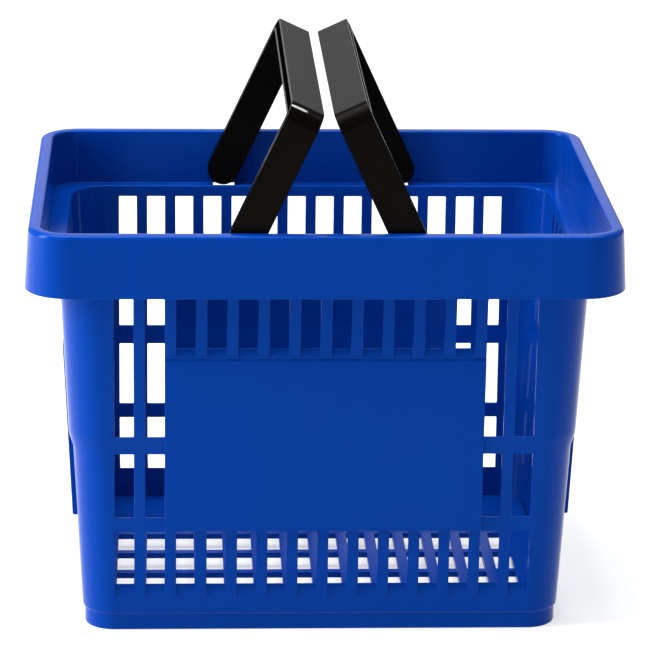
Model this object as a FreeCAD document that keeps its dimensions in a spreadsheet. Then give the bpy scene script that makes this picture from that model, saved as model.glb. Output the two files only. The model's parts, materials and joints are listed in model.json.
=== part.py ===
import FreeCAD, Part
import os
import Sketcher

# Hand basket with two folding bail handles, in millimetres.
# +X runs along the length, +Y to the back and +Z up. The origin is the centre of the base underside.
# The moulding is drawn whole (tub, rim, ledge, floor) and then divided into regions that meet face to face.

doc = FreeCAD.newDocument("shopping_basket")

DIMENSIONS = {
    # rim: a hollow upside-down channel around the mouth
    "rim_length": 431, "rim_width": 321, "rim_top": 315, "rim_bottom": 269, "rim_thick": 10,
    "rim_corner": 30, "rim_web": 2.2, "rim_flare": 3,
    # tub wall: half sizes above the foot, and how far the wall has moved out at each height
    "tub_half_x": 179, "tub_half_y": 129.6, "tub_wall": 2.6, "tub_top": 269.5,
    "foot_inset": 1.7, "foot_top": 12.5, "foot_edge": 14,
    "step_low": 141.5, "step_high": 152, "out_low": 6.2, "out_high": 9.2, "out_top": 14.6,
    "corner_foot": 24, "corner_low": 26, "corner_high": 28, "corner_top": 30,
    # ledge that joins the tub to the rim, and the openings under the handle feet in it and in the rim
    "ledge_top": 272, "foot_gap": 17, "foot_gap_depth": 6.5, "foot_gap_top": 274,
    # slots of the grilles
    "pitch": 22.61, "slot": 14.2, "columns_long": 14, "columns_short": 9, "plain_columns": 10,
    "row_top": 263, "row_upper": 155.8, "row_middle": 91, "row_lower": 79.3, "row_sill": 31.4,
    # label panels
    "panel_foot": 81.3, "panel_head": 217.4, "panel_ramp": 225, "panel_proud": 1.3,
    "panel_half_x": 117.25, "panel_half_y": 100,
    # floor
    "floor_top": 12.8, "floor_foot": 8.3, "floor_pitch": 42, "floor_gap": 35, "floor_rows": 4,
    # where the regions of the tub, the ledge and the rim meet
    "tub_split_x": 154.5, "tub_split_y": 103, "rim_split_x": 183, "rim_split_y": 128, "beyond": 260,
    # handles: straps of channel section, open on the side away from the middle
    "pivot_x": 70, "pivot_z": 286, "lean": 25, "reach": 130.5, "strap": 25.2, "leg_outer": 150.1,
    "leg_thick": 7.8, "grip_thick": 10, "bend": 14, "channel_bend": 6.5, "skin": 2,
    "foot_drop": 13.5, "foot_solid": 14, "foot_round": 12.1,
    # snap studs that the handles turn on
    "stud": 5, "stud_clearance": 0.05, "stud_neck": 153.2, "stud_end": 155.2, "stud_head": 6.2,
}

sheet = doc.addObject("Spreadsheet::Sheet", "Dims")
for row, (alias, value) in enumerate(DIMENSIONS.items(), start=1):
    sheet.set(f"A{row}", str(value))
    sheet.setAlias(f"A{row}", alias)
doc.recompute()

XY, XZ, YZ = "XY_Plane", "XZ_Plane", "YZ_Plane"
parts = {}


# ---------------------------------------------------------------- helpers

def size(alias):
    """Value of one driving dimension."""
    return float(sheet.get(alias))


def bound(text):
    """Expression on the sheet's aliases, with each alias written as Dims.alias."""
    words = text.replace("(", " ( ").replace(")", " ) ").split()
    return " ".join("Dims." + word if word in DIMENSIONS else word for word in words)


def new_body(name):
    return doc.addObject("PartDesign::Body", name)


def new_sketch(body, name, role, height="0"):
    """Sketch on one of the body's own planes, moved along the plane's normal."""
    sketch = body.newObject("Sketcher::SketchObject", name)
    plane = next(item for item in body.Origin.OriginFeatures if item.Role == role)
    sketch.AttachmentSupport = [(plane, "")]
    sketch.MapMode = "FlatFace"
    sketch.setExpression("AttachmentOffset.Base.z", bound(height))
    return sketch


def bind(sketch, kind, place, text):
    """Dimension bound to the sheet: place is the geometry and, for a distance, the point on it."""
    value = sketch.evalExpression(bound(text))
    start = () if kind == "Radius" else (-1, 1)
    index = sketch.addConstraint(Sketcher.Constraint(kind, *start, *place, value))
    sketch.setExpression(f"Constraints[{index}]", bound(text))


def outline(sketch, corners):
    """Closed outline of straight edges with its corners bound to the sheet."""
    first = sketch.GeometryCount
    spots = [FreeCAD.Vector(*(sketch.evalExpression(bound(text)) for text in corner)) for corner in corners]
    for start, end in zip(spots, spots[1:] + spots[:1]):
        sketch.addGeometry(Part.LineSegment(start, end), False)
    for number, (across, up) in enumerate(corners):
        edge = first + number
        before = first + (number - 1) % len(corners)
        sketch.addConstraint(Sketcher.Constraint("Coincident", before, 2, edge, 1))
        bind(sketch, "DistanceX", (edge, 1), across)
        bind(sketch, "DistanceY", (edge, 1), up)


def rectangle(sketch, left, right, low, high):
    outline(sketch, [(left, low), (right, low), (right, high), (left, high)])


def rounded_rectangle(sketch, half_x, half_y, radius):
    """Rectangle about the origin with four round corners."""
    wide, deep, turn = (sketch.evalExpression(bound(text)) for text in (half_x, half_y, radius))
    centre = [(wide - turn, -deep + turn), (wide - turn, deep - turn)]
    centre += [(-wide + turn, deep - turn), (-wide + turn, -deep + turn)]
    quarter = FreeCAD.Units.parseQuantity("90 deg").getValueAs("rad").Value
    arcs = []
    for number, (x, y) in enumerate(centre):
        circle = Part.Circle(FreeCAD.Vector(x, y, 0), FreeCAD.Vector(0, 0, 1), turn)
        arc = Part.ArcOfCircle(circle, (number - 1) * quarter, number * quarter)
        arcs.append(sketch.addGeometry(arc, False))
    for number, arc in enumerate(arcs):
        after = arcs[(number + 1) % 4]
        start = sketch.getPoint(arc, 2)
        line = sketch.addGeometry(Part.LineSegment(start, sketch.getPoint(after, 1)), False)
        sketch.addConstraint(Sketcher.Constraint("Tangent", arc, 2, line, 1))
        sketch.addConstraint(Sketcher.Constraint("Tangent", line, 2, after, 1))
        sketch.addConstraint(Sketcher.Constraint("Horizontal" if number % 2 else "Vertical", line))
        bind(sketch, "Radius", (arc,), radius)
        if number == 0:
            bind(sketch, "DistanceX", (line, 1), half_x)
        if number == 1:
            bind(sketch, "DistanceY", (line, 1), half_y)
        if number == 2:
            bind(sketch, "DistanceX", (line, 1), f"-1 * ({half_x})")
        if number == 3:
            bind(sketch, "DistanceY", (line, 1), f"-1 * ({half_y})")


def feature(body, kind, name, profile, length, symmetric=False, reverse=False):
    """Pad or pocket of a sketch by a bound length."""
    made = body.newObject("PartDesign::" + kind, name)
    made.Profile = profile
    made.setExpression("Length", bound(length))
    made.SideType = "Symmetric" if symmetric else "One side"
    made.Reversed = reverse
    doc.recompute()
    return made


def cut(body, name, profile, length, symmetric=False, reverse=False):
    """Pocket that has to take material away."""
    before = body.Shape.Volume
    made = feature(body, "Pocket", name, profile, length, symmetric, reverse)
    if made.Shape.Volume > before - 1:
        raise RuntimeError(name + " cuts nothing")
    return made


def repeat(body, made, along, count, step):
    """Linear pattern of one feature along a sketch axis."""
    pattern = body.newObject("PartDesign::LinearPattern", made.Name + "_row")
    pattern.Originals = [made]
    pattern.Direction = (made.Profile[0], [along])
    pattern.setExpression("Occurrences", bound(count))
    pattern.setExpression("Length", bound(f"({count} - 1) * {step}"))
    body.Tip = pattern
    doc.recompute()
    return pattern


def loft(body, kind, name, levels):
    """Ruled loft through rounded rectangles: each level is height, half_x, half_y and radius."""
    sketches = []
    for number, (height, half_x, half_y, radius) in enumerate(levels):
        sketch = new_sketch(body, f"{name}_{number}", XY, height)
        rounded_rectangle(sketch, half_x, half_y, radius)
        sketches.append(sketch)
    doc.recompute()
    made = body.newObject("PartDesign::" + kind, name)
    made.Profile = sketches[0]
    made.Sections = sketches[1:]
    made.Ruled = True
    doc.recompute()
    return made


def box(name, left, right, front, back, low, high):
    """Box between bound limits."""
    made = doc.addObject("Part::Box", name)
    for prop, least, most in (("Length", left, right), ("Width", front, back), ("Height", low, high)):
        made.setExpression(prop, bound(f"({most}) - ({least})"))
    for letter, least in (("x", left), ("y", front), ("z", low)):
        made.setExpression("Placement.Base." + letter, bound(least))
    return made


def keep(label, whole, tool):
    """Region of a whole that lies inside a box, as a sub-part of its own."""
    made = doc.addObject("Part::Common", label)
    made.Base = whole
    made.Tool = tool
    parts[label] = made
    return made


# ---------------------------------------------------------------- tub, rim, ledge and floor, drawn whole

def tub_level(height, out, radius, inside="0"):
    """One level of the tub: its half sizes, moved out by one amount and in by another."""
    return (height, f"tub_half_x + {out} - {inside}", f"tub_half_y + {out} - {inside}", f"{radius} - {inside}")


def make_tub():
    """Drafted shell with an inset foot, a step at mid height and the slots of the four grilles."""
    body = new_body("tub")
    loft(body, "AdditiveLoft", "tub_outside", [
        tub_level("0", "0 - foot_inset", "corner_foot - foot_inset"),
        tub_level("foot_top", "0 - foot_inset", "corner_foot - foot_inset"),
        tub_level("foot_edge", "0", "corner_foot"),
        tub_level("step_low", "out_low", "corner_low"),
        tub_level("step_high", "out_high", "corner_high"),
        tub_level("tub_top", "out_top", "corner_top"),
    ])
    loft(body, "SubtractiveLoft", "tub_inside", [
        tub_level("0", "0 - foot_inset", "corner_foot - foot_inset", "tub_wall"),
        tub_level("foot_edge", "0 - foot_inset", "corner_foot - foot_inset", "tub_wall"),
        tub_level("step_low", "out_low", "corner_low", "tub_wall"),
        tub_level("step_high", "out_high", "corner_high", "tub_wall"),
        tub_level("tub_top", "out_top", "corner_top", "tub_wall"),
    ])
    first = "0 - (columns_long - 1) / 2 * pitch"
    beside = f"{first} + (columns_long - 2) * pitch"
    panel_column = f"{first} + 2 * pitch"
    rows = (("row_upper", "row_top"), ("row_middle", "step_low"))

    sketch = new_sketch(body, "open_columns", XZ)
    for centre in (first, beside):
        for low, high in rows:
            rectangle(sketch, f"{centre} - slot / 2", f"{centre} + slot / 2", low, high)
    repeat(body, cut(body, "open_slots", sketch, "2 * beyond", symmetric=True), "H_Axis", "2", "pitch")

    sketch = new_sketch(body, "column_over_panel", XZ)
    rectangle(sketch, f"{panel_column} - slot / 2", f"{panel_column} + slot / 2", "panel_ramp", "row_top")
    slots = cut(body, "slots_over_panel", sketch, "2 * beyond", symmetric=True)
    repeat(body, slots, "H_Axis", "plain_columns", "pitch")

    sketch = new_sketch(body, "low_column", XZ)
    rectangle(sketch, f"{first} - slot / 2", f"{first} + slot / 2", "row_sill", "row_lower")
    repeat(body, cut(body, "low_slots", sketch, "2 * beyond", symmetric=True), "H_Axis", "columns_long", "pitch")

    end = "0 - (columns_short - 1) / 2 * pitch"
    for name, low, high in (("end_low", "row_sill", "row_lower"), ("end_high", "panel_ramp", "row_top")):
        sketch = new_sketch(body, name + "_column", YZ)
        rectangle(sketch, f"{end} - slot / 2", f"{end} + slot / 2", low, high)
        slots = cut(body, name + "_slots", sketch, "2 * beyond", symmetric=True)
        repeat(body, slots, "H_Axis", "columns_short", "pitch")
    return body


def rim_level(height, flare, inside="0"):
    """One level of the rim: its half sizes, moved out by the flare and in by another amount."""
    half_x, half_y = f"rim_length / 2 + {flare} - {inside}", f"rim_width / 2 + {flare} - {inside}"
    return (height, half_x, half_y, f"rim_corner + {flare} - {inside}")


def rim_plan(body, name, inside):
    """Sketch at the foot of the rim with one or more outlines, each moved in by its own amount."""
    sketch = new_sketch(body, name, XY, "rim_bottom")
    for amount in inside:
        half_x, half_y = f"rim_length / 2 - {amount}", f"rim_width / 2 - {amount}"
        rounded_rectangle(sketch, half_x, half_y, f"rim_corner - {amount}")
    return sketch


def make_rim():
    """Hollow upside-down channel around the mouth, flared outwards, with the holes the studs turn in."""
    body = new_body("rim")
    loft(body, "AdditiveLoft", "rim_block", [
        rim_level("rim_bottom", "rim_flare"),
        rim_level("rim_top", "0"),
    ])
    lid = "(rim_flare * rim_web / (rim_top - rim_bottom))"
    loft(body, "SubtractiveLoft", "rim_hollow", [
        rim_level("rim_bottom", "rim_flare", "rim_web"),
        rim_level("rim_top - rim_web", lid, "rim_web"),
    ])
    sketch = rim_plan(body, "rim_inner_plan", ("(rim_thick - rim_web)",))
    feature(body, "Pad", "rim_inner", sketch, "rim_top - rim_web - rim_bottom")
    sketch = rim_plan(body, "rim_mouth_plan", ("rim_thick",))
    cut(body, "rim_mouth", sketch, "rim_top - rim_bottom", reverse=True)

    sketch = new_sketch(body, "stud_hole_plan", XZ)
    for side in (1, -1):
        x = side * size("pivot_x")
        circle = Part.Circle(FreeCAD.Vector(x, size("pivot_z"), 0), FreeCAD.Vector(0, 0, 1), size("stud"))
        hole = sketch.addGeometry(circle, False)
        bind(sketch, "Radius", (hole,), "stud + stud_clearance")
        bind(sketch, "DistanceX", (hole, 3), f"{side} * pivot_x")
        bind(sketch, "DistanceY", (hole, 3), "pivot_z")
        left, right = f"{side} * pivot_x - foot_gap / 2", f"{side} * pivot_x + foot_gap / 2"
        rectangle(sketch, left, right, "rim_bottom", "foot_gap_top")
    cut(body, "stud_holes", sketch, "rim_width - 3 * rim_web", symmetric=True)
    return body


def make_ledge():
    """Flat shelf from the tub to the rim, open under each handle foot."""
    body = new_body("ledge")
    inner = "out_top - tub_wall"
    for kind, name in (("Pad", "ledge_plate"), ("Pocket", "ledge_mouth")):
        sketch = new_sketch(body, name + "_plan", XY, "tub_top")
        if kind == "Pad":
            half_x, half_y = "rim_length / 2 - rim_thick", "rim_width / 2 - rim_thick"
            rounded_rectangle(sketch, half_x, half_y, "rim_corner - rim_thick")
            feature(body, kind, name, sketch, "ledge_top - tub_top")
        else:
            half_x, half_y = f"tub_half_x + {inner}", f"tub_half_y + {inner}"
            rounded_rectangle(sketch, half_x, half_y, "corner_top - tub_wall")
            cut(body, name, sketch, "ledge_top - tub_top", reverse=True)

    sketch = new_sketch(body, "foot_gaps", XY, "tub_top")
    for side in ("-1", "1"):
        left, right = f"{side} * pivot_x - foot_gap / 2", f"{side} * pivot_x + foot_gap / 2"
        edge = "rim_width / 2 - rim_thick"
        rectangle(sketch, left, right, f"{edge} - foot_gap_depth", edge)
        rectangle(sketch, left, right, f"0 - ({edge})", f"foot_gap_depth - ({edge})")
    cut(body, "foot_gap_cut", sketch, "ledge_top - tub_top", reverse=True)
    return body


def make_floor():
    """Grid of bars inside the foot of the tub."""
    body = new_body("floor_grid")
    inside = "(foot_inset + tub_wall)"
    sketch = new_sketch(body, "floor_plan", XY, "floor_foot")
    half_x, half_y = f"tub_half_x - {inside}", f"tub_half_y - {inside}"
    rounded_rectangle(sketch, half_x, half_y, f"corner_foot - {inside}")
    feature(body, "Pad", "floor_plate", sketch, "floor_top - floor_foot")

    sketch = new_sketch(body, "floor_column", XY, "floor_foot")
    column = "0 - (columns_long - 1) / 2 * pitch"
    for number in range(int(size("floor_rows"))):
        row = f"({number} - (floor_rows - 1) / 2) * floor_pitch"
        left, right = f"{column} - slot / 2", f"{column} + slot / 2"
        rectangle(sketch, left, right, f"{row} - floor_gap / 2", f"{row} + floor_gap / 2")
    slots = cut(body, "floor_gaps", sketch, "floor_top - floor_foot", reverse=True)
    repeat(body, slots, "H_Axis", "columns_long", "pitch")
    parts["floor_grid"] = body


def make_panel(side, plane, half_length, wall, turned):
    """Label panel that lies on the wall's outer face and bridges its step."""
    body = new_body("label_panel_" + side)
    lower = "(out_low / (step_low - foot_edge))"
    upper = "((out_top - out_high) / (tub_top - step_high))"
    low_wall = f"{wall} + (panel_foot - foot_edge) * {lower}"
    face_foot = f"{wall} + out_high - (step_high - panel_foot) * {upper} + panel_proud"
    face_head = f"{wall} + out_high + (panel_head - step_high) * {upper} + panel_proud"
    wall_head = f"{wall} + out_high + (panel_ramp - step_high) * {upper}"
    sketch = new_sketch(body, side + "_section", plane)
    outline(sketch, [
        (low_wall, "panel_foot"), (face_foot, "panel_foot"), (face_head, "panel_head"),
        (wall_head, "panel_ramp"), (f"{wall} + out_high", "step_high"), (f"{wall} + out_low", "step_low"),
    ])
    feature(body, "Pad", side + "_panel", sketch, f"2 * {half_length}", symmetric=True)
    body.Placement = FreeCAD.Placement(FreeCAD.Vector(), FreeCAD.Rotation(180 if turned else 0, 0, 0))
    parts[body.Name] = body


# ---------------------------------------------------------------- division of the moulding into regions

def divide(whole, side_label, corner_label, split_x, split_y, low, high):
    """Four straight sides and four corners of a ring."""
    sides = {
        "front": (f"0 - {split_x}", split_x, "0 - beyond", f"0 - {split_y}"),
        "back": (f"0 - {split_x}", split_x, split_y, "beyond"),
        "left": ("0 - beyond", f"0 - {split_x}", f"0 - {split_y}", split_y),
        "right": (split_x, "beyond", f"0 - {split_y}", split_y),
    }
    for side, limits in sides.items():
        label = f"{side_label}_{side}"
        keep(label, whole, box(label + "_zone", *limits, low, high))
    spans = {"front": ("0 - beyond", f"0 - {split_y}"), "back": (split_y, "beyond")}
    for depth, (near, far) in spans.items():
        for hand, (left, right) in (("left", sides["left"][:2]), ("right", sides["right"][:2])):
            label = f"{corner_label}_{depth}_{hand}"
            keep(label, whole, box(label + "_zone", left, right, near, far, low, high))


# ---------------------------------------------------------------- handles

def make_handle():
    """Bail of channel section, upright about its pivot line, open towards -X."""
    body = new_body("handle")
    inner, under = "leg_outer - leg_thick", "reach - grip_thick"
    sketch = new_sketch(body, "bail_front_view", YZ)
    foot = "0 - foot_drop"
    outline(sketch, [
        ("leg_outer", foot), ("leg_outer", "reach"), ("0 - leg_outer", "reach"), ("0 - leg_outer", foot),
        (f"0 - ({inner})", foot), (f"0 - ({inner})", under), (inner, under), (inner, foot),
    ])
    feature(body, "Pad", "bail", sketch, "strap", symmetric=True)

    round_edges(body, "bend_rounds", edges_along_x(body, size("leg_outer"), size("reach")), "bend")
    round_edges(body, "foot_rounds", edges_along_y(body, -size("foot_drop")), "foot_round")

    out, rise = "leg_outer - skin", "reach - skin"
    within, over = f"{inner} + skin", f"{under} + skin"
    sketch = new_sketch(body, "channel_front_view", YZ, "0 - strap / 2")
    outline(sketch, [
        (out, "foot_solid"), (out, f"{rise} - channel_bend"), (f"{out} - channel_bend", rise),
        (f"channel_bend - ({out})", rise), (f"0 - ({out})", f"{rise} - channel_bend"),
        (f"0 - ({out})", "foot_solid"),
        (f"0 - ({within})", "foot_solid"), (f"0 - ({within})", over), (within, over), (within, "foot_solid"),
    ])
    cut(body, "channel", sketch, "strap - skin", reverse=True)
    return body


def edges_along_y(body, height):
    """Names of the edges at one height that run across the legs' thickness, at the strap's two sides."""
    found = []
    for number, edge in enumerate(body.Shape.Edges, start=1):
        limits = edge.BoundBox
        flat = abs(limits.ZMin - height) < 0.01 and limits.ZLength < 0.01 and limits.XLength < 0.01
        if flat and abs(abs(limits.XMin) - size("strap") / 2) < 0.01:
            found.append(f"Edge{number}")
    return found


def edges_along_x(body, outer, height):
    """Names of the two outer edges at the top of the legs, which run in the swing direction."""
    found = []
    for number, edge in enumerate(body.Shape.Edges, start=1):
        limits = edge.BoundBox
        if abs(limits.ZMin - height) < 0.01 and limits.ZLength < 0.01 and limits.YLength < 0.01:
            if abs(abs(limits.YMin) - outer) < 0.01:
                found.append(f"Edge{number}")
    return found


def round_edges(body, name, edges, radius):
    base = body.Tip
    made = body.newObject("PartDesign::Fillet", name)
    made.Base = (base, edges)
    made.setExpression("Radius", bound(radius))
    body.Tip = made
    doc.recompute()


def rest_placement(side):
    """Leaning in to the middle by the rest angle, about the pivot line of the left or right handle."""
    turned = FreeCAD.Rotation(FreeCAD.Vector(0, 0, 1), 0 if side == "left" else 180)
    lean = FreeCAD.Rotation(FreeCAD.Vector(0, 1, 0), size("lean"))
    across = -size("pivot_x") if side == "left" else size("pivot_x")
    return FreeCAD.Placement(FreeCAD.Vector(across, 0, size("pivot_z")), turned.multiply(lean))


def make_handles(handle):
    """Grip, two legs and two snap studs for each side. The right handle is the left one turned round."""
    corner = "leg_outer - bend - skin"
    zones = {
        "grip": (f"0 - ({corner})", corner),
        "leg_front": ("0 - beyond", f"0 - ({corner})"),
        "leg_back": (corner, "beyond"),
    }
    for side in ("left", "right"):
        for name, (front, back) in zones.items():
            if side == "right":
                front, back = f"0 - ({back})", f"0 - ({front})"
            label = f"{side}_handle_{name}"
            zone = box(label + "_zone", "0 - beyond", "beyond", front, back, "0 - beyond", "beyond")
            keep(label, handle, zone).Placement = rest_placement(side)
        for depth, facing in (("front", -1), ("back", 1)):
            make_stud(side, depth, facing)


def make_stud(side, depth, facing):
    """Snap stud: a shaft in the rim's hole and a wider head behind the rim's inner wall."""
    pieces = []
    for name, radius, near, far in (
        ("shaft", "stud", "leg_outer", "stud_neck"),
        ("head", "stud_head", "stud_neck", "stud_end"),
    ):
        made = doc.addObject("Part::Cylinder", f"stud_{side}_{depth}_{name}")
        made.setExpression("Radius", bound(radius))
        made.setExpression("Height", bound(f"{far} - {near}"))
        across = (-1 if side == "left" else 1) * size("pivot_x")
        turn = FreeCAD.Rotation(FreeCAD.Vector(1, 0, 0), -90 * facing)
        place = FreeCAD.Vector(across, facing * size(near), size("pivot_z"))
        made.Placement = FreeCAD.Placement(place, turn)
        pieces.append(made)
    label = f"{side}_handle_stud_{depth}"
    whole = doc.addObject("Part::Fuse", label)
    whole.Base, whole.Tool = pieces
    parts[label] = whole


# ---------------------------------------------------------------- build and write

divide(make_tub(), "grille", "corner_post", "tub_split_x", "tub_split_y", "0", "tub_top")
divide(make_ledge(), "ledge", "ledge_corner", "tub_split_x", "tub_split_y", "tub_top", "ledge_top")
divide(make_rim(), "rim", "rim_corner", "rim_split_x", "rim_split_y", "rim_bottom", "rim_top")
make_floor()
for panel_side, panel_turned in (("front", True), ("back", False)):
    make_panel(panel_side, YZ, "panel_half_x", "tub_half_y", panel_turned)
for panel_side, panel_turned in (("right", False), ("left", True)):
    make_panel(panel_side, XZ, "panel_half_y", "tub_half_x", panel_turned)
make_handles(make_handle())

doc.recompute()
for item in doc.Objects:
    if "Invalid" in item.State or "Error" in item.State:
        raise RuntimeError(f"{item.Name} did not compute: {item.State}")

os.makedirs("parts", exist_ok=True)
for label, part in parts.items():
    part.Label = label
    if part.Shape.isNull() or not part.Shape.isValid():
        raise RuntimeError(label + " has no valid shape")
    part.Shape.exportStep(f"parts/{label}.step")
    print(label, len(part.Shape.Solids), round(part.Shape.Volume), part.Shape.BoundBox)
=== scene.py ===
import json
import math

import bmesh
import bpy
from mathutils import Matrix, Vector


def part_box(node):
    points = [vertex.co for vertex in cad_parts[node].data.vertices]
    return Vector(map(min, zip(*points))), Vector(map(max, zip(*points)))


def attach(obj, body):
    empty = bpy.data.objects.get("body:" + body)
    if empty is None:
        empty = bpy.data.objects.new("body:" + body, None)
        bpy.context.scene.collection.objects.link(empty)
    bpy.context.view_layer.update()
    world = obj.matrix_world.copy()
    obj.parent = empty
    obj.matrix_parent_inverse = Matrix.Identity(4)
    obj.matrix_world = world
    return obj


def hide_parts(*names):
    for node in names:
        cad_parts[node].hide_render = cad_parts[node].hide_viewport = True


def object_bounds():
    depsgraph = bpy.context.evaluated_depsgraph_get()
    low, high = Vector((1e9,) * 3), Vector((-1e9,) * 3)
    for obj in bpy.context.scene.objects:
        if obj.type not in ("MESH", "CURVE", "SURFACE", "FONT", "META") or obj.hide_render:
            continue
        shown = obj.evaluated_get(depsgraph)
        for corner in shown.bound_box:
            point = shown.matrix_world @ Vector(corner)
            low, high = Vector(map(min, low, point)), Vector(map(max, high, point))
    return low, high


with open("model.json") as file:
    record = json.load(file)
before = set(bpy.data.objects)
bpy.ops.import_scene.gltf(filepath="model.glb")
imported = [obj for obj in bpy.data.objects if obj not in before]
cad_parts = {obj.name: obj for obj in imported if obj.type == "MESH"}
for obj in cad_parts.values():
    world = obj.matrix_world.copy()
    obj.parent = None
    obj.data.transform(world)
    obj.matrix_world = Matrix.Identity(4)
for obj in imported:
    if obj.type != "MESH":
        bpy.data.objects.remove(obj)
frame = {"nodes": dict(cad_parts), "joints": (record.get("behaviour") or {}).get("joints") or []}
cad_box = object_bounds()
MM = 0.001

# ------------------------------------------------------------------ sizes read from the frame, in metres

FLARE = 3 * MM  # how far the foot of the rim stands out past its top
RIM_X, RIM_Y = cad_box[1].x - FLARE, cad_box[1].y - FLARE
RIM_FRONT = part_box("rim_front")
LEDGE_FRONT, LEDGE_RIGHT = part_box("ledge_front"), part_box("ledge_right")
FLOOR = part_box("floor_grid")
RIM_LOW, RIM_TOP = RIM_FRONT[0].z, RIM_FRONT[1].z
RIM_THICK = RIM_Y + RIM_FRONT[1].y
LEDGE_LOW, LEDGE_TOP = LEDGE_FRONT[0].z, LEDGE_FRONT[1].z
INNER_X, INNER_Y = LEDGE_RIGHT[0].x, -LEDGE_FRONT[1].y
PIVOT = Vector(next(joint["pos_m"] for joint in frame["joints"] if joint["name"] == "right_handle_fold"))

# ------------------------------------------------------------------ sizes of the moulding, in millimetres

WALL, RIM_WEB = 2.6, 2.2
RIM_CORNER, CORNER_FOOT, CORNER_TOP = 30, 24, 30
OUTER_ROUND, INNER_ROUND, LEDGE_LIP = 3.5, 2.2, 1.6
FOOT_INSET, OUT_LOW, OUT_HIGH, OUT_TOP = 1.7, 6.2, 9.2, 14.6
PITCH, SLOT = 22.61, 14.2
LONG_COLUMNS, SHORT_COLUMNS, OPEN_ENDS = 14, 9, 2
FLOOR_PITCH, FLOOR_GAP, FLOOR_ROWS = 42, 35, 4
FOOT_GAP, FOOT_GAP_DEPTH, FOOT_GAP_RISE, FOOT_GAP_CORNER = 17, 6.5, 2, 28.5
SAME_PLACE = 0.01
ARC_STEPS, OUTER_ROUND_STEPS, INNER_ROUND_STEPS = 12, 4, 3

# level of the wall: outside height, inside height, outward step, corner radius beyond the foot's
LEVELS = (
    (0, 0, -FOOT_INSET, -FOOT_INSET),
    (12.5, 11.0, -FOOT_INSET, -FOOT_INSET),
    (14, 15.5, 0, 0),
    (25.8, 37, 0.6, 0.2),
    (79.3, 79.3, 3.2, 1.0),
    (91, 91, 3.7, 1.2),
    (141.5, 141.5, OUT_LOW, 2.0),
    (152, 152, OUT_HIGH, 4.0),
    (155.8, 155.8, 9.4, 4.1),
    (217.4, 225, 12.2, 5.1),
    (263, 263, 14.3, 5.9),
)
# the level at the foot of each row of slots
BOTTOM_ROW, MIDDLE_ROW, UPPER_ROW, TOP_ROW = 3, 5, 8, 9
STEP_LOW, STEP_HIGH, PANEL_TOP = LEVELS[6][0], LEVELS[7][0], LEVELS[9][0]

# label panel: how far it stands out, its small slopes at foot and head, and its inner side there
PANEL_PROUD, PANEL_FOOT_SLOPE, PANEL_HEAD_SLOPE = 1.3, (0.6, 0.8), 1.6
PANEL_FOOT_BACK, PANEL_HEAD_BACK, PANEL_COLUMNS = 3.0, 10.0, 12

# ------------------------------------------------------------------ sizes of the handles, in millimetres

STRAP, REACH, LEG_OUTER, LEG_THICK, GRIP_THICK = 25.2, 130.5, 150.1, 7.8, 10.0
BEND, SKIN, FOOT_SOLID, FOOT_DROP, RECESS = 13.2, 2.0, 14, 13.5, 0.25
LEG_RISES, GRIP_PLACES, BEND_STEPS = (40, 66, 92), (110, 80, 50, 20), 8
# mark: a slightly raised bar across each handle bend, coloured light grey as a painted highlight
MARK_LENGTH, MARK_HEIGHT, MARK_PROUD, MARK_EDGE, MARK_ROOT = 12.5, 2.0, 0.3, 0.15, -0.3
MARK_INSET, MARK_STEPS = 0.3, 8

# ends of the mark: how square they are, and the least part of its height that is left
MARK_SQUARE, MARK_LEAST = 6, 0.3

# degrees: lean at rest, place of the mark round the bend, and the stations round the foot
LEAN, MARK_PLACE = 25, 56
FOOT_FIRST, FOOT_TURN, FOOT_STATIONS = 85, 10.6, 9


# ------------------------------------------------------------------ mesh helpers

def ring(half_x, half_y, radius, height, marks_x, marks_y):
    """Rounded rectangle from the front left, anticlockwise, with a vertex at each mark of each straight."""
    def corner(x, y, start):
        cx = x - math.copysign(radius, x)
        cy = y - math.copysign(radius, y)
        turn = (math.radians(start + 90 * step / ARC_STEPS) for step in range(ARC_STEPS + 1))
        return [Vector((cx + radius * math.cos(a), cy + radius * math.sin(a), height)) for a in turn]

    front = [Vector((x, -half_y, height)) for x in marks_x]
    right = [Vector((half_x, y, height)) for y in marks_y]
    back = [Vector((-x, half_y, height)) for x in marks_x]
    left = [Vector((-half_x, -y, height)) for y in marks_y]
    return (
        front + corner(half_x, -half_y, -90) + right + corner(half_x, half_y, 0)
        + back + corner(-half_x, half_y, 90) + left + corner(-half_x, -half_y, 180)
    )


def mesh_object(name, points, faces):
    """Object of these faces, with points at one place joined, normals outward and smooth shading."""
    mesh = bpy.data.meshes.new(name)
    mesh.from_pydata(points, [], faces)
    made = bpy.data.objects.new(name, mesh)
    bpy.context.scene.collection.objects.link(made)
    work = bmesh.new()
    work.from_mesh(mesh)
    bmesh.ops.remove_doubles(work, verts=work.verts, dist=SAME_PLACE * MM)
    loose = [vert for vert in work.verts if not vert.link_faces]
    bmesh.ops.delete(work, geom=loose, context="VERTS")
    bmesh.ops.recalc_face_normals(work, faces=work.faces)
    work.to_mesh(mesh)
    work.free()
    for face in mesh.polygons:
        face.use_smooth = True
    return made


def soften(piece, width, angle=32, segments=2):
    """Moulded radii along every sharp edge, with even shading on the flats."""
    bevel = piece.modifiers.new("radii", "BEVEL")
    bevel.width = width * MM
    bevel.segments = segments
    bevel.limit_method = "ANGLE"
    bevel.angle_limit = math.radians(angle)
    piece.modifiers.new("even_flats", "WEIGHTED_NORMAL").keep_sharp = True


def quarter_turn(steps):
    """Angles from 0 to 90 degrees, in radians."""
    return [math.radians(90 * step / steps) for step in range(steps + 1)]


def loft_faces(sections, around):
    """Quads between neighbouring sections of a closed outline, and a face at each end."""
    faces = []
    for section in range(sections - 1):
        low, high = section * around, (section + 1) * around
        for corner in range(around):
            after = (corner + 1) % around
            faces.append((low + corner, low + after, high + after, high + corner))
    for first in (0, (sections - 1) * around):
        faces.append([first + corner for corner in range(around)])
    return faces


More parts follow.
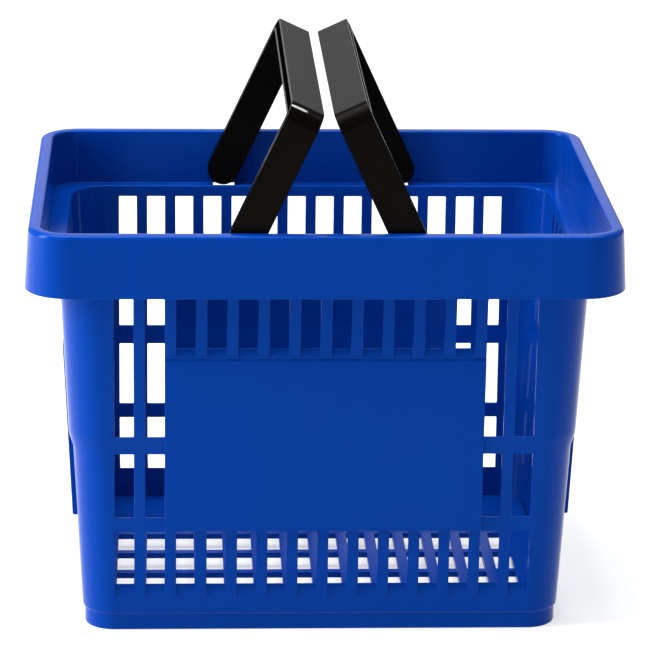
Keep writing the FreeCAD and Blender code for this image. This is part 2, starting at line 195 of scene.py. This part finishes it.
def finish_piece(piece, body, material, replaced=()):
    """Give the piece its material and body, and hide the CAD nodes that it stands for."""
    piece.data.materials.clear()
    piece.data.materials.append(material)
    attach(piece, body)
    if replaced:
        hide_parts(*replaced)


# ------------------------------------------------------------------ materials

FLOW_SCALE, CLOUD_SCALE, ALONG_DRAW = 60.0, 7.0, 0.06
FLOW_RELIEF, RELIEF_DEPTH, PLASTIC_IOR = 6.0, 0.1 * MM, 1.49
BLUE_SHINE, PLAIN_SHINE = (0.12, 0.36, 1, 1), (1, 1, 1, 1)


def node_maker(material):
    nodes, links = material.node_tree.nodes, material.node_tree.links

    def add(kind, **values):
        node = nodes.new(kind)
        for key, value in values.items():
            if hasattr(node, key):
                setattr(node, key, value)
            else:
                node.inputs[key].default_value = value
        return node

    return add, links


def plastic(name, dark, light, roughness, grain, grain_scale, streak, specular, tint):
    """Moulded plastic: flow streaks along the draw, cloudy colour, fine surface grain and uneven gloss."""
    material = bpy.data.materials.new(name)
    material.use_nodes = True
    shader = material.node_tree.nodes["Principled BSDF"]
    add, links = node_maker(material)
    place = add("ShaderNodeTexCoord")
    stretch = add("ShaderNodeMapping")
    stretch.inputs["Scale"].default_value = (1.0, 1.0, ALONG_DRAW)
    links.new(place.outputs["Object"], stretch.inputs["Vector"])

    flow = add("ShaderNodeTexNoise", Scale=FLOW_SCALE, Detail=4.0, Roughness=0.55)
    links.new(stretch.outputs["Vector"], flow.inputs["Vector"])
    cloud = add("ShaderNodeTexNoise", Scale=CLOUD_SCALE, Detail=3.0, Roughness=0.5)
    links.new(place.outputs["Object"], cloud.inputs["Vector"])
    blend = add("ShaderNodeMix", data_type="RGBA")
    both = add("ShaderNodeMath", operation="MULTIPLY_ADD")
    both.inputs[1].default_value = streak
    links.new(flow.outputs["Fac"], both.inputs[0])
    half = add("ShaderNodeMath", operation="MULTIPLY")
    half.inputs[1].default_value = 1.0 - streak
    links.new(cloud.outputs["Fac"], half.inputs[0])
    links.new(half.outputs[0], both.inputs[2])
    links.new(both.outputs[0], blend.inputs["Factor"])
    blend.inputs["A"].default_value = (*dark, 1)
    blend.inputs["B"].default_value = (*light, 1)
    links.new(blend.outputs["Result"], shader.inputs["Base Color"])

    fine = add("ShaderNodeTexNoise", Scale=grain_scale, Detail=3.0, Roughness=0.6)
    links.new(place.outputs["Object"], fine.inputs["Vector"])
    gloss = add("ShaderNodeMapRange")
    gloss.inputs["To Min"].default_value = roughness * 0.8
    gloss.inputs["To Max"].default_value = roughness * 1.25
    links.new(fine.outputs["Fac"], gloss.inputs["Value"])
    links.new(gloss.outputs["Result"], shader.inputs["Roughness"])

    relief = add("ShaderNodeMath", operation="MULTIPLY_ADD")
    relief.inputs[1].default_value = FLOW_RELIEF
    links.new(flow.outputs["Fac"], relief.inputs[0])
    links.new(fine.outputs["Fac"], relief.inputs[2])
    bump = add("ShaderNodeBump")
    bump.inputs["Strength"].default_value = grain
    bump.inputs["Distance"].default_value = RELIEF_DEPTH
    links.new(relief.outputs[0], bump.inputs["Height"])
    links.new(bump.outputs["Normal"], shader.inputs["Normal"])
    shader.inputs["IOR"].default_value = PLASTIC_IOR
    shader.inputs["Specular IOR Level"].default_value = specular
    shader.inputs["Specular Tint"].default_value = tint
    return material


BLUE = plastic(
    "blue_polypropylene", (0.0003, 0.033, 0.255), (0.0005, 0.040, 0.305),
    roughness=0.15, grain=0.10, grain_scale=900, streak=0.6, specular=0.22, tint=BLUE_SHINE,
)
PANEL = plastic(
    "blue_panel", (0.0003, 0.035, 0.268), (0.0006, 0.040, 0.303),
    roughness=0.26, grain=0.08, grain_scale=1400, streak=0.35, specular=0.15, tint=BLUE_SHINE,
)
FLOOR_BLUE = plastic(
    "blue_floor", (0.0003, 0.034, 0.258), (0.0005, 0.039, 0.300),
    roughness=0.24, grain=0.12, grain_scale=1100, streak=0.3, specular=0.2, tint=BLUE_SHINE,
)
BLACK = plastic(
    "black_handle", (0.0016, 0.0011, 0.0007), (0.0028, 0.0021, 0.0014),
    roughness=0.24, grain=0.05, grain_scale=1600, streak=0.4, specular=0.04, tint=PLAIN_SHINE,
)
# light grey for the bar across each handle bend: a painted highlight
PAINTED_HIGHLIGHT_GREY = plastic(
    "handle_painted_highlight", (0.42, 0.42, 0.40), (0.58, 0.58, 0.56),
    roughness=0.35, grain=0.2, grain_scale=1600, streak=0.3, specular=0.3, tint=PLAIN_SHINE,
)


# ------------------------------------------------------------------ basket moulding: rim, ledge, wall

def slot_edges(columns):
    edges = []
    for column in range(columns):
        centre = (column - (columns - 1) / 2) * PITCH
        edges += [centre - SLOT / 2, centre + SLOT / 2]
    return edges


def long_marks():
    gap = [side * PIVOT.x / MM + edge * FOOT_GAP / 2 for side in (-1, 1) for edge in (-1, 1)]
    return sorted(slot_edges(LONG_COLUMNS) + gap)


def moulding():
    """One closed skin: up the skirt, over the rim, down the inside, under the foot and up the outside."""
    marks_x, marks_y = long_marks(), slot_edges(SHORT_COLUMNS)
    metres_x, metres_y = [v * MM for v in marks_x], [v * MM for v in marks_y]
    foot_x = INNER_X + (WALL - OUT_TOP) * MM
    foot_y = INNER_Y + (WALL - OUT_TOP) * MM
    rings, partner = [], {}

    def at(half_x, half_y, radius, height):
        rings.append(ring(half_x, half_y, radius, height, metres_x, metres_y))
        return len(rings) - 1

    def rim(inset, height):
        return at(RIM_X - inset * MM, RIM_Y - inset * MM, (RIM_CORNER - inset) * MM, height)

    def skirt(inset, height):
        flare = FLARE / MM * (RIM_TOP - height) / (RIM_TOP - RIM_LOW)
        return rim(inset - flare, height)

    def wall(level, inside):
        outer, inner, out, turn = LEVELS[level]
        inset = WALL if inside else 0
        radius = CORNER_FOOT + turn - inset
        height = (inner if inside else outer) * MM
        return at(foot_x + (out - inset) * MM, foot_y + (out - inset) * MM, radius * MM, height)

    thick = RIM_THICK / MM
    skirt(0, RIM_LOW)
    for angle in quarter_turn(OUTER_ROUND_STEPS):
        rise = (math.sin(angle) - 1) * OUTER_ROUND
        skirt(OUTER_ROUND * (1 - math.cos(angle)), RIM_TOP + rise * MM)
    for angle in quarter_turn(INNER_ROUND_STEPS):
        inset = thick - INNER_ROUND * (1 - math.sin(angle))
        rim(inset, RIM_TOP - INNER_ROUND * (1 - math.cos(angle)) * MM)
    gap_top = rim(thick, LEDGE_TOP + FOOT_GAP_RISE * MM)
    top_outer = rim(thick, LEDGE_TOP)
    ledge_x = RIM_X - RIM_THICK - FOOT_GAP_DEPTH * MM
    ledge_y = RIM_Y - RIM_THICK - FOOT_GAP_DEPTH * MM
    top_inner = at(ledge_x, ledge_y, FOOT_GAP_CORNER * MM, LEDGE_TOP)
    for angle in quarter_turn(INNER_ROUND_STEPS):
        reach = LEDGE_LIP * (1 - math.sin(angle)) * MM
        drop = LEDGE_LIP * (1 - math.cos(angle)) * MM
        at(INNER_X + reach, INNER_Y + reach, (CORNER_TOP - WALL) * MM + reach, LEDGE_TOP - drop)
    inside = {level: wall(level, True) for level in reversed(range(len(LEVELS)))}
    outside = {level: wall(level, False) for level in range(len(LEVELS))}
    low_inner = at(INNER_X + WALL * MM, INNER_Y + WALL * MM, CORNER_TOP * MM, LEDGE_LOW)
    low_outer = rim(thick - RIM_WEB, LEDGE_LOW)
    hidden_top = rim(thick - RIM_WEB, LEDGE_TOP + FOOT_GAP_RISE * MM)
    rim(thick - RIM_WEB, RIM_TOP - RIM_WEB * MM)
    skirt(RIM_WEB, RIM_TOP - RIM_WEB * MM)
    skirt(RIM_WEB, RIM_LOW)
    for level, number in inside.items():
        partner[number] = outside[level]
        partner[outside[level]] = number
    for one, other in ((gap_top, hidden_top), (top_outer, low_outer), (top_inner, low_inner)):
        partner[one] = other
        partner[other] = one

    holes = slot_cells(inside, outside, marks_x, marks_y)
    holes |= foot_gap_cells((gap_top, top_outer, low_inner, low_outer), marks_x, marks_y)
    points = [point for loop in rings for point in loop]
    return points, skin(len(rings), len(rings[0]), holes, partner)


def straight_columns(marks_x, marks_y):
    """First column number of the front, right, back and left straights."""
    long, short, arc = len(marks_x), len(marks_y), ARC_STEPS + 1
    return 0, long + arc, long + short + 2 * arc, 2 * long + short + 3 * arc


def slot_cells(inside, outside, marks_x, marks_y):
    """(ring, column) cells that the slots leave open, on the inside and on the outside."""
    front, right, back, left = straight_columns(marks_x, marks_y)
    cells = set()
    rows_open = (BOTTOM_ROW, MIDDLE_ROW, UPPER_ROW, TOP_ROW)
    rows_plain = (BOTTOM_ROW, TOP_ROW)

    def leave_open(starts, marks, columns, open_ends):
        edges = slot_edges(columns)
        for column in range(columns):
            low, high = edges[2 * column], edges[2 * column + 1]
            beside = column < open_ends or column >= columns - open_ends
            spans = [
                number for number in range(len(marks) - 1)
                if marks[number] >= low - SAME_PLACE and marks[number + 1] <= high + SAME_PLACE
            ]
            for start in starts:
                for span in spans:
                    for row in rows_open if beside else rows_plain:
                        cells.add((inside[row + 1], start + span))
                        cells.add((outside[row], start + span))

    leave_open((front, back), marks_x, LONG_COLUMNS, OPEN_ENDS)
    leave_open((right, left), marks_y, SHORT_COLUMNS, 0)
    return cells


def foot_gap_cells(rows, marks_x, marks_y):
    """Cells of the ledge and of the rim's inner wall that are open under the handle feet."""
    front, _, back, _ = straight_columns(marks_x, marks_y)
    pivot = PIVOT.x / MM
    cells = set()
    for number in range(len(marks_x) - 1):
        middle = abs((marks_x[number] + marks_x[number + 1]) / 2)
        if abs(middle - pivot) < FOOT_GAP / 2:
            for start in (front, back):
                cells |= {(row, start + number) for row in rows}
    return cells


def skin(count, around, holes, partner):
    """Quads between neighbouring rings, and the four sides of each hole from one skin to the other."""
    faces = []

    def quad(*corners):
        faces.append(tuple((loop % count) * around + column % around for loop, column in corners))

    for loop in range(count):
        for column in range(around):
            after = column + 1
            if (loop, column) not in holes:
                quad((loop, column), (loop, after), (loop + 1, after), (loop + 1, column))
                continue
            pair, pair_next = partner[loop], partner[loop + 1]
            if pair < loop:
                continue
            for near, far, beside in ((loop, pair, loop - 1), (loop + 1, pair_next, loop + 1)):
                if (beside, column) not in holes:
                    quad((near, column), (near, after), (far, after), (far, column))
            for side, beside in ((column, column - 1), (after, after)):
                if (loop, beside % around) not in holes:
                    quad((loop, side), (loop + 1, side), (pair_next, side), (pair, side))
    return faces


def make_moulding():
    points, faces = moulding()
    piece = mesh_object("basket_moulding", points, faces)
    soften(piece, width=0.6)
    prefixes = ("rim_", "ledge_", "grille_", "corner_post_")
    stood_for = [node for node in frame["nodes"] if node.startswith(prefixes)]
    finish_piece(piece, "basket", BLUE, stood_for)


# ------------------------------------------------------------------ floor grid

def make_floor():
    """Grid of bars with its outline rounded at the corners."""
    half_x, half_y = FLOOR[1].x / MM, FLOOR[1].y / MM
    radius = CORNER_FOOT - FOOT_INSET - WALL
    inner_x = half_x - radius
    marks_x = slot_edges(LONG_COLUMNS)
    turns = quarter_turn(ARC_STEPS)
    ends = [inner_x + radius * math.sin(turn) for turn in turns]
    reach = [half_y - radius * (1 - math.cos(turn)) for turn in turns]
    columns = [(-x, y) for x, y in zip(reversed(ends), reversed(reach))]
    columns += [(x, half_y) for x in marks_x] + list(zip(ends, reach))
    rows = [-half_y]
    for row in range(FLOOR_ROWS):
        centre = (row - (FLOOR_ROWS - 1) / 2) * FLOOR_PITCH
        rows += [centre - FLOOR_GAP / 2, centre + FLOOR_GAP / 2]
    rows.append(half_y)
    first = len(ends)
    wide, deep = len(columns), len(rows)
    points = [
        Vector((x * MM, y / half_y * far * MM, z))
        for z in (FLOOR[0].z, FLOOR[1].z) for x, far in columns for y in rows
    ]

    def vertex(layer, i, j):
        return layer * wide * deep + i * deep + j

    def is_open(i, j):
        inside = first <= i < first + len(marks_x) and 0 < j < deep - 2
        return inside and (i - first) % 2 == 0 and j % 2 == 1

    faces = []
    for i in range(wide - 1):
        for j in range(deep - 1):
            around = ((i, j), (i + 1, j), (i + 1, j + 1), (i, j + 1))
            neighbours = ((i, j - 1), (i + 1, j), (i, j + 1), (i - 1, j))
            if not is_open(i, j):
                faces.append([vertex(1, *corner) for corner in around])
                faces.append([vertex(0, *corner) for corner in reversed(around)])
            for number, (ni, nj) in enumerate(neighbours):
                outside = not (0 <= ni < wide - 1 and 0 <= nj < deep - 1)
                if is_open(i, j) or outside:
                    a, b = around[number], around[(number + 1) % 4]
                    faces.append([vertex(0, *a), vertex(0, *b), vertex(1, *b), vertex(1, *a)])
    piece = mesh_object("floor_bars", points, faces)
    soften(piece, width=0.8, segments=3)
    finish_piece(piece, "basket", FLOOR_BLUE, ["floor_grid"])


# ------------------------------------------------------------------ label panels

def make_panel(side, turn):
    """Plain plate that stands slightly proud of the ribs, with a small radius all round."""
    low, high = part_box("label_panel_" + side)
    along_x = side in ("front", "back")
    half = (high.x - low.x) / 2 if along_x else (high.y - low.y) / 2
    wall = (INNER_Y if along_x else INNER_X) / MM + WALL - OUT_TOP
    slope = (OUT_TOP - OUT_HIGH) / (LEDGE_LOW / MM - STEP_HIGH)
    foot = low.z / MM
    lip, lip_rise = PANEL_FOOT_SLOPE

    def face(height):
        return wall + OUT_HIGH + (height - STEP_HIGH) * slope + PANEL_PROUD

    back = wall - WALL / 2
    section = (
        (back + PANEL_FOOT_BACK, foot), (face(foot) - lip, foot), (face(foot), foot + lip_rise),
        (face(PANEL_TOP), PANEL_TOP - PANEL_HEAD_SLOPE), (face(PANEL_TOP) - PANEL_PROUD, PANEL_TOP),
        (back + PANEL_HEAD_BACK, PANEL_TOP), (back + OUT_HIGH, STEP_HIGH), (back + OUT_LOW, STEP_LOW),
    )
    columns = [-half + half * 2 * step / PANEL_COLUMNS for step in range(PANEL_COLUMNS + 1)]
    points = [Vector((x, out * MM, z * MM)) for x in columns for out, z in section]
    piece = mesh_object("panel_" + side, points, loft_faces(len(columns), len(section)))
    piece.data.transform(Matrix.Rotation(math.radians(turn), 4, "Z"))
    soften(piece, width=0.7, angle=20)
    finish_piece(piece, "basket", PANEL, ["label_panel_" + side])


# ------------------------------------------------------------------ handles

def bail_stations():
    """Half of the bail: outer point, outward direction, thickness, half width and channel depth of each."""
    stations = []
    deep = STRAP - SKIN
    half = STRAP / 2

    def leg(rise, half_width, depth):
        stations.append(((LEG_OUTER, rise), (1.0, 0.0), LEG_THICK, half_width, depth))

    for station in range(FOOT_STATIONS):
        angle = math.radians(FOOT_FIRST - FOOT_TURN * station)
        leg(half - FOOT_DROP - half * math.sin(angle), half * math.cos(angle), RECESS)
    leg(FOOT_SOLID - 1, half, RECESS)
    leg(FOOT_SOLID, half, deep)
    for rise in LEG_RISES:
        leg(rise, half, deep)
    for step, angle in enumerate(quarter_turn(BEND_STEPS)):
        direction = (math.cos(angle), math.sin(angle))
        point = (LEG_OUTER - BEND + BEND * direction[0], REACH - BEND + BEND * direction[1])
        thick = LEG_THICK + (GRIP_THICK - LEG_THICK) * step / BEND_STEPS
        stations.append((point, direction, thick, half, deep))
    for place in GRIP_PLACES:
        stations.append(((place, REACH), (0.0, 1.0), GRIP_THICK, half, deep))
    return stations


def make_handle(side):
    """Bail of channel section: the web faces the middle of the basket and the channel opens away from it."""
    halves = bail_stations()
    mirrored = [((-point[0], point[1]), (-out[0], out[1]), *rest) for point, out, *rest in halves]
    stations = halves + list(reversed(mirrored))
    points = []
    lean = Matrix.Rotation(math.radians(LEAN), 4, "Y")
    turn = Matrix.Rotation(0 if side == "left" else math.pi, 4, "Z")
    to_rest = turn @ Matrix.Translation((-PIVOT.x, 0, PIVOT.z)) @ lean
    for (y, rise), (dy, dz), thick, half, depth in stations:
        floor = depth - half
        edge = min(SKIN, thick / 3)
        section = (
            (-half, 0), (half, 0), (half, -thick), (-half, -thick),
            (-half, edge - thick), (floor, edge - thick), (floor, -edge), (-half, -edge),
        )
        for across, out in section:
            points.append(to_rest @ Vector((across * MM, (y + dy * out) * MM, (rise + dz * out) * MM)))
    piece = mesh_object(side + "_bail", points, loft_faces(len(stations), len(section)))
    soften(piece, width=0.8, angle=28)
    body = side + "_handle"
    stood_for = [node for node in frame["nodes"] if node.startswith(body) and "stud" not in node]
    finish_piece(piece, body, BLACK, stood_for)
    make_painted_highlight(side, to_rest)


def make_painted_highlight(side, to_rest):
    """Short raised bar across the bend, just under the end of the grip, with blunt ends, coloured light grey
    as a painted highlight on the black handle.
    """
    start = MARK_INSET - STRAP / 2
    section = (
        (-1, MARK_ROOT), (-1, MARK_EDGE), (-0.5, MARK_PROUD),
        (0.5, MARK_PROUD), (1, MARK_EDGE), (1, MARK_ROOT),
    )
    points = []
    for step in range(MARK_STEPS + 1):
        across = start + MARK_LENGTH * step / MARK_STEPS
        taper = math.sqrt(max(MARK_LEAST, 1 - abs(2 * step / MARK_STEPS - 1) ** MARK_SQUARE))
        for up, out in section:
            turn = math.radians(MARK_PLACE) + up * MARK_HEIGHT / 2 * taper / BEND
            radius = BEND + out * taper
            y = LEG_OUTER - BEND + radius * math.cos(turn)
            z = REACH - BEND + radius * math.sin(turn)
            points.append(to_rest @ Vector((across * MM, -y * MM, z * MM)))
    piece = mesh_object(side + "_bail_painted_highlight", points, loft_faces(MARK_STEPS + 1, len(section)))
    # the light grey colour of this bar is a painted highlight
    finish_piece(piece, side + "_handle", PAINTED_HIGHLIGHT_GREY)


# ------------------------------------------------------------------ stage, light and camera

GROUND_HALF, GROUND_DARK, GROUND_LIGHT, GROUND_GLOW = 30, 0.47, 0.49, 1.1
MIDDLE = (0, 0, 0.2)
WORLD_COLOUR, WORLD_STRENGTH = (0.93, 0.95, 1.0, 1), 0.30
CAMERA_PLACE, YAW, PITCH_DOWN, ROLL = (-0.1148, -2.4462, 0.9629), 0.0493, 0.3024, 0.0142
SENSOR_WIDTH, LENS = 36, 184.6


def make_stage():
    """Plain pale floor that glows a little, evenly."""
    corners = ((-1, -1), (1, -1), (1, 1), (-1, 1))
    points = [Vector((x * GROUND_HALF, y * GROUND_HALF, 0)) for x, y in corners]
    ground = mesh_object("ground", points, [(0, 1, 2, 3)])
    material = bpy.data.materials.new("pale_ground")
    material.use_nodes = True
    shader = material.node_tree.nodes["Principled BSDF"]
    add, links = node_maker(material)
    place = add("ShaderNodeTexCoord")
    speckle = add("ShaderNodeTexNoise", Scale=4.0, Detail=2.0)
    links.new(place.outputs["Object"], speckle.inputs["Vector"])
    tone = add("ShaderNodeMapRange")
    tone.inputs["To Min"].default_value = GROUND_DARK
    tone.inputs["To Max"].default_value = GROUND_LIGHT
    links.new(speckle.outputs["Fac"], tone.inputs["Value"])
    links.new(tone.outputs["Result"], shader.inputs["Base Color"])
    links.new(tone.outputs["Result"], shader.inputs["Emission Color"])
    shader.inputs["Roughness"].default_value = 0.9
    shader.inputs["Emission Strength"].default_value = GROUND_GLOW
    ground.data.materials.append(material)


def area_light(name, place, width, height, power):
    """Soft light that faces the middle of the basket."""
    light = bpy.data.lights.new(name, "AREA")
    light.shape = "RECTANGLE"
    light.size, light.size_y = width, height
    light.energy = power
    made = bpy.data.objects.new(name, light)
    bpy.context.scene.collection.objects.link(made)
    made.location = place
    made.rotation_mode = "QUATERNION"
    made.rotation_quaternion = (Vector(MIDDLE) - Vector(place)).to_track_quat("-Z", "Y")


def make_light():
    area_light("left_window", (-2.7, -0.45, 1.3), width=1.0, height=2.2, power=150)
    area_light("overhead", (-0.2, 0.3, 3.0), width=3.4, height=2.8, power=155)
    area_light("back_strip", (0.3, 3.2, 1.25), width=3.2, height=0.8, power=4)
    world = bpy.data.worlds.new("studio")
    bpy.context.scene.world = world
    world.use_nodes = True
    background = world.node_tree.nodes["Background"]
    background.inputs["Color"].default_value = WORLD_COLOUR
    background.inputs["Strength"].default_value = WORLD_STRENGTH


def make_camera():
    """Long lens, a little left of the middle and above the rim, looking slightly down."""
    ahead = math.cos(PITCH_DOWN)
    forward = Vector((math.sin(YAW) * ahead, math.cos(YAW) * ahead, -math.sin(PITCH_DOWN)))
    level = Vector((math.cos(YAW), -math.sin(YAW), 0))
    upright = level.cross(forward)
    right = math.cos(ROLL) * level + math.sin(ROLL) * upright
    up = -math.sin(ROLL) * level + math.cos(ROLL) * upright
    data = bpy.data.cameras.new("camera")
    data.sensor_width = SENSOR_WIDTH
    data.lens = LENS
    data.clip_end = 100
    made = bpy.data.objects.new("camera", data)
    bpy.context.scene.collection.objects.link(made)
    axes = Matrix((right, up, -forward)).transposed().to_4x4()
    made.matrix_world = Matrix.Translation(CAMERA_PLACE) @ axes
    bpy.context.scene.camera = made


# ------------------------------------------------------------------ make everything

make_camera()
make_moulding()
make_floor()
for panel_side, panel_turn in (("back", 0), ("left", 90), ("front", 180), ("right", 270)):
    make_panel(panel_side, panel_turn)
for handle_side in ("left", "right"):
    make_handle(handle_side)
for name, node in frame["nodes"].items():
    if "stud" in name:
        node.data.materials.clear()
        node.data.materials.append(BLACK)
make_stage()
make_light()
bpy.context.scene.view_settings.view_transform = "Standard"
